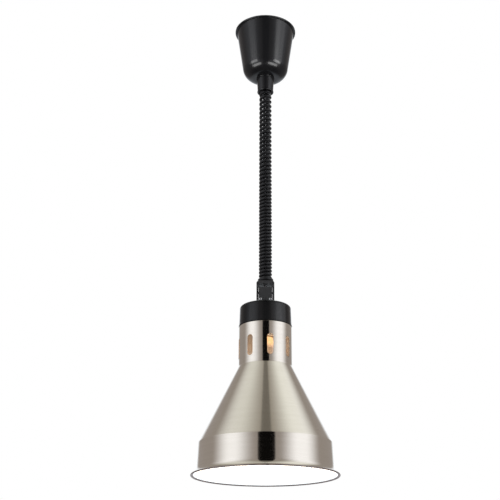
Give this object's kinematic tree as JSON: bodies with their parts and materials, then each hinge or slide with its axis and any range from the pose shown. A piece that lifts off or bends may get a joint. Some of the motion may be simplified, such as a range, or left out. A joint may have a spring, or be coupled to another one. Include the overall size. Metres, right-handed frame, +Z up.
{
  "type": "heat lamp warmer",
  "caption": "Ceiling-hung food warming lamp: a cup with a spring reel, a curly cord that stretches, and a tilting brushed nickel shade with a reflector lamp.",
  "frame": {"origin": "centre of the ceiling plate's upper face, on the lamp's vertical axis", "axes": "+Z up, +X along the reel's axle and the pivot bolt towards the spring case, -Y to the front"},
  "size_m": [0.2312, 0.2312, 0.8056],
  "materials": {
    "black_plastic": "satin moulded plastic",
    "black_metal": "satin black enamel",
    "cord_sheath": "smooth black sheath",
    "brushed_nickel": "brushed nickel outside, white enamel inside",
    "plated_steel": "bright zinc plate",
    "sheet_steel": "zinc-plated sheet",
    "spring_steel": "blued spring steel",
    "wire_rope": "stranded steel wire",
    "bronze": "sintered bronze",
    "brass_contact": "bright brass",
    "nylon": "moulded nylon",
    "terminal_plastic": "moulded plastic",
    "core_insulation": "insulated cores",
    "fibre": "pressed fibre",
    "porcelain": "glazed porcelain",
    "lamp_glass": "frosted glass, silvered behind",
    "lamp_base": "plated screw shell",
    "black_glass": "black glass insulator",
    "tungsten": "glowing tungsten"
  },
  "bodies": {
    "ceiling": {"ceiling_plate": "sheet_steel", "reel_frame": "sheet_steel", "frame_screws": "plated_steel", "axle_bushes": "bronze", "spring_case": "sheet_steel", "case_screws": "plated_steel", "power_spring": "spring_steel", "wire_guide": "nylon", "guide_tube": "sheet_steel", "guide_screws": "plated_steel", "terminal_block": "terminal_plastic", "terminal_screws": "plated_steel", "block_screw": "plated_steel", "cord_grip": "nylon", "grip_screws": "plated_steel", "supply_tail": "cord_sheath", "tail_cores": "core_insulation", "curly_cord": "cord_sheath", "suspension_wire": "wire_rope"},
    "canopy": {"canopy_cup": "black_plastic", "canopy_neck": "black_plastic", "neck_screw": "plated_steel"},
    "reel": {"reel_drum": "nylon", "reel_axle": "sheet_steel", "friction_disc": "fibre", "axle_clip": "plated_steel", "wound_wire": "wire_rope"},
    "hanger": {"hanger_yoke": "black_metal", "pivot_bolt": "plated_steel", "pivot_nut": "plated_steel", "wire_ferrule": "plated_steel", "cord_bush": "cord_sheath", "cord_tail": "cord_sheath"},
    "head": {"pivot_lug": "black_metal", "lug_cover": "black_metal", "lug_screws": "plated_steel", "nipple": "plated_steel", "lock_washer": "plated_steel", "lock_nut": "plated_steel", "lamp_cap": "black_plastic", "shade": "brushed_nickel", "shade_screws": "plated_steel", "lampholder_dome": "porcelain", "lampholder_body": "porcelain", "thread_shell": "brass_contact", "centre_contact": "brass_contact", "holder_screws": "plated_steel", "lamp_lead": "cord_sheath"},
    "lamp": {"bulb_glass": "lamp_glass", "bulb_base": "lamp_base", "base_insulator": "black_glass", "base_contact": "brass_contact", "glass_stem": "lamp_glass", "filament": "tungsten"}
  },
  "joints": [
    {"name": "rise_fall", "type": "slide", "parent": "ceiling", "child": "hanger", "axis": [0, 0, -1], "range_m": [-0.025, 0.7], "deforming": ["curly_cord", "suspension_wire"]},
    {"name": "reel_spin", "type": "hinge", "parent": "ceiling", "child": "reel", "pos_m": [0, 0.01575, -0.034], "axis": [1, 0, 0], "range_deg": [-100, 2600]},
    {"name": "head_tilt", "type": "hinge", "parent": "hanger", "child": "head", "pos_m": [0, 0, -0.507], "axis": [1, 0, 0], "range_deg": [-20, 20]},
    {"name": "canopy_slide", "type": "slide", "parent": "ceiling", "child": "canopy", "axis": [0, 0, -1], "range_m": [0, 0.12]},
    {"name": "lamp_removal", "type": "slide", "parent": "head", "child": "lamp", "axis": [0, 0, -1], "range_m": [0, 0.12]}
  ],
  "couplings": [
    {"joint": "reel_spin", "follows": "rise_fall", "rad_per_m": 63.492}
  ]
}
